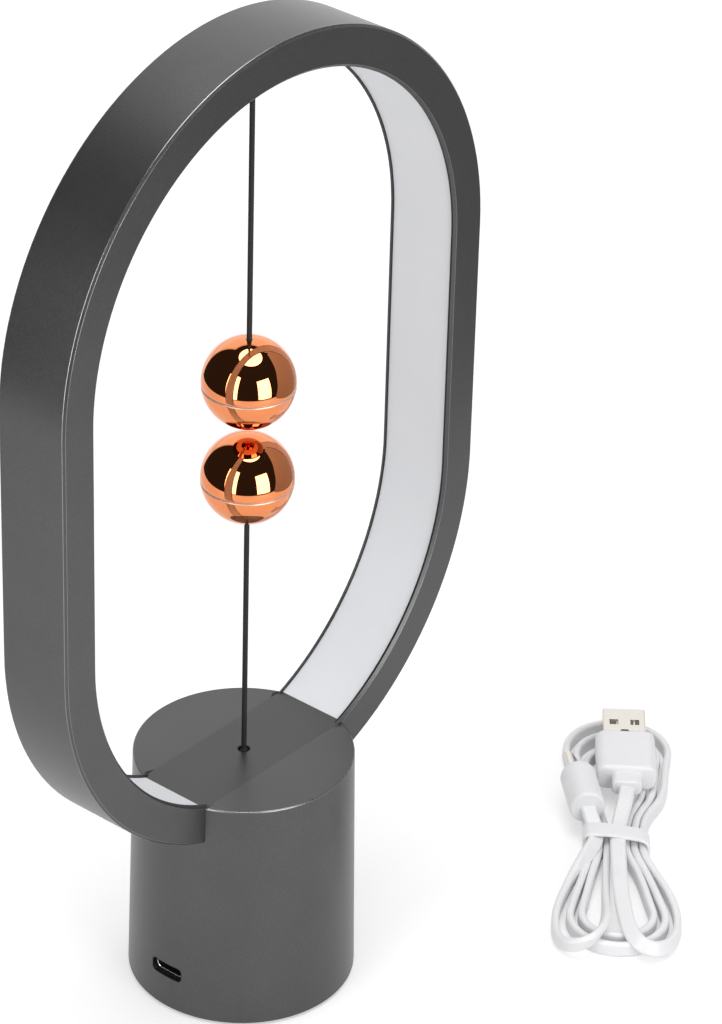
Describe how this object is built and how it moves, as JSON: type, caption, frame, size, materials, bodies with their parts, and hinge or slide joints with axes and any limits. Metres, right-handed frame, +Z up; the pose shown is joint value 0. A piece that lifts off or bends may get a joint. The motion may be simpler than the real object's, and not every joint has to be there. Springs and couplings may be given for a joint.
{
  "type": "magnetic balance lamp",
  "caption": "Table lamp with a loop-shaped light ring on a drum base, switched on when its corded magnetic balls are brought together, with its charging cable.",
  "frame": {"origin": "on the floor, under the middle of the drum base", "axes": "+Z up; the ring stands in the XZ plane with its depth along Y; the charging port faces -X"},
  "size_m": [0.2311, 0.1156, 0.2695],
  "materials": {
    "grey_paint": "fine satin metallic paint",
    "opal": "matt opal",
    "copper_mirror": "copper mirror plating",
    "black_cord": "braided",
    "black_plastic": "fine moulded",
    "rubber": "matt",
    "steel": "zinc plated",
    "magnet_nickel": "nickel plated",
    "plug_nickel": "nickel plated",
    "circuit_board": "solder mask",
    "board_parts": "moulded",
    "phosphor": "cast silicone",
    "lead_jacket": "extruded",
    "button_plastic": "moulded",
    "white_jacket": "satin moulded"
  },
  "bodies": {
    "lamp": {"base_housing": "grey_paint", "ring_frame": "grey_paint", "bridge_cap": "grey_paint", "ring_diffuser": "opal", "port_bezel": "black_plastic", "cord_grommet": "black_plastic", "top_anchor": "black_plastic", "switch_body": "black_plastic", "usb_c_tongue": "black_plastic", "ring_saddle": "black_plastic", "base_plate": "black_plastic", "foot_pad": "rubber", "base_screws": "steel", "ring_screws": "steel", "saddle_screws": "steel", "bracket_screws": "steel", "board_screws": "steel", "switch_pin": "steel", "switch_bracket": "steel", "counterweight": "steel", "usb_c_receptacle": "plug_nickel", "usb_a_shell": "plug_nickel", "usb_c_shell": "plug_nickel", "control_board": "circuit_board", "led_strip": "circuit_board", "board_components": "board_parts", "led_emitters": "phosphor", "strip_leads": "lead_jacket", "switch_leads": "lead_jacket", "cable_hank": "white_jacket", "cable_tie": "white_jacket", "cable_lead_a": "white_jacket", "cable_lead_c": "white_jacket", "usb_a_overmould": "white_jacket", "usb_c_overmould": "white_jacket", "usb_a_tongue": "white_jacket"},
    "upper_swivel": {"upper_bead": "black_plastic"},
    "upper_ball": {"upper_cord": "black_cord", "upper_ball_top_shell": "copper_mirror", "upper_ball_bottom_shell": "copper_mirror", "upper_magnet": "magnet_nickel", "upper_cord_stop": "steel"},
    "pull_cord": {"lower_cord_tail": "black_cord", "lower_cord_crimp": "steel"},
    "lower_swivel": {"lower_bead": "black_plastic"},
    "lower_ball": {"lower_cord": "black_cord", "lower_ball_top_shell": "copper_mirror", "lower_ball_bottom_shell": "copper_mirror", "lower_magnet": "magnet_nickel", "lower_cord_stop": "steel"},
    "switch_lever": {"switch_lever": "steel"},
    "switch_button": {"switch_button": "button_plastic"}
  },
  "joints": [
    {"name": "upper_swing_front", "type": "hinge", "parent": "lamp", "child": "upper_swivel", "pos_m": [0, 0, 0.2599], "axis": [1, 0, 0], "range_deg": [-30, 30]},
    {"name": "upper_swing_side", "type": "hinge", "parent": "upper_swivel", "child": "upper_ball", "pos_m": [0, 0, 0.2599], "axis": [0, 1, 0], "range_deg": [-30, 30]},
    {"name": "cord_pull", "type": "slide", "parent": "lamp", "child": "pull_cord", "axis": [0, 0, 1], "range_m": [-0.0012, 0], "stiffness_N_per_m": 300, "springref_m": 0.001},
    {"name": "lower_lean_front", "type": "hinge", "parent": "pull_cord", "child": "lower_swivel", "pos_m": [0, 0, 0.0659], "axis": [1, 0, 0], "range_deg": [-15, 15], "stiffness_Nm_per_rad": 0.03},
    {"name": "lower_lean_side", "type": "hinge", "parent": "lower_swivel", "child": "lower_ball", "pos_m": [0, 0, 0.0659], "axis": [0, 1, 0], "range_deg": [-15, 15], "stiffness_Nm_per_rad": 0.03},
    {"name": "lever_turn", "type": "hinge", "parent": "lamp", "child": "switch_lever", "pos_m": [0.0145, 0, 0.0356], "axis": [0, 1, 0], "range_deg": [-5, 0]},
    {"name": "button_press", "type": "slide", "parent": "lamp", "child": "switch_button", "axis": [0, 0, 1], "range_m": [-0.00075, 0]}
  ],
  "couplings": [
    {"joint": "lever_turn", "follows": "cord_pull", "rad_per_m": 68.966},
    {"joint": "button_press", "follows": "cord_pull", "ratio": 0.5862}
  ]
}
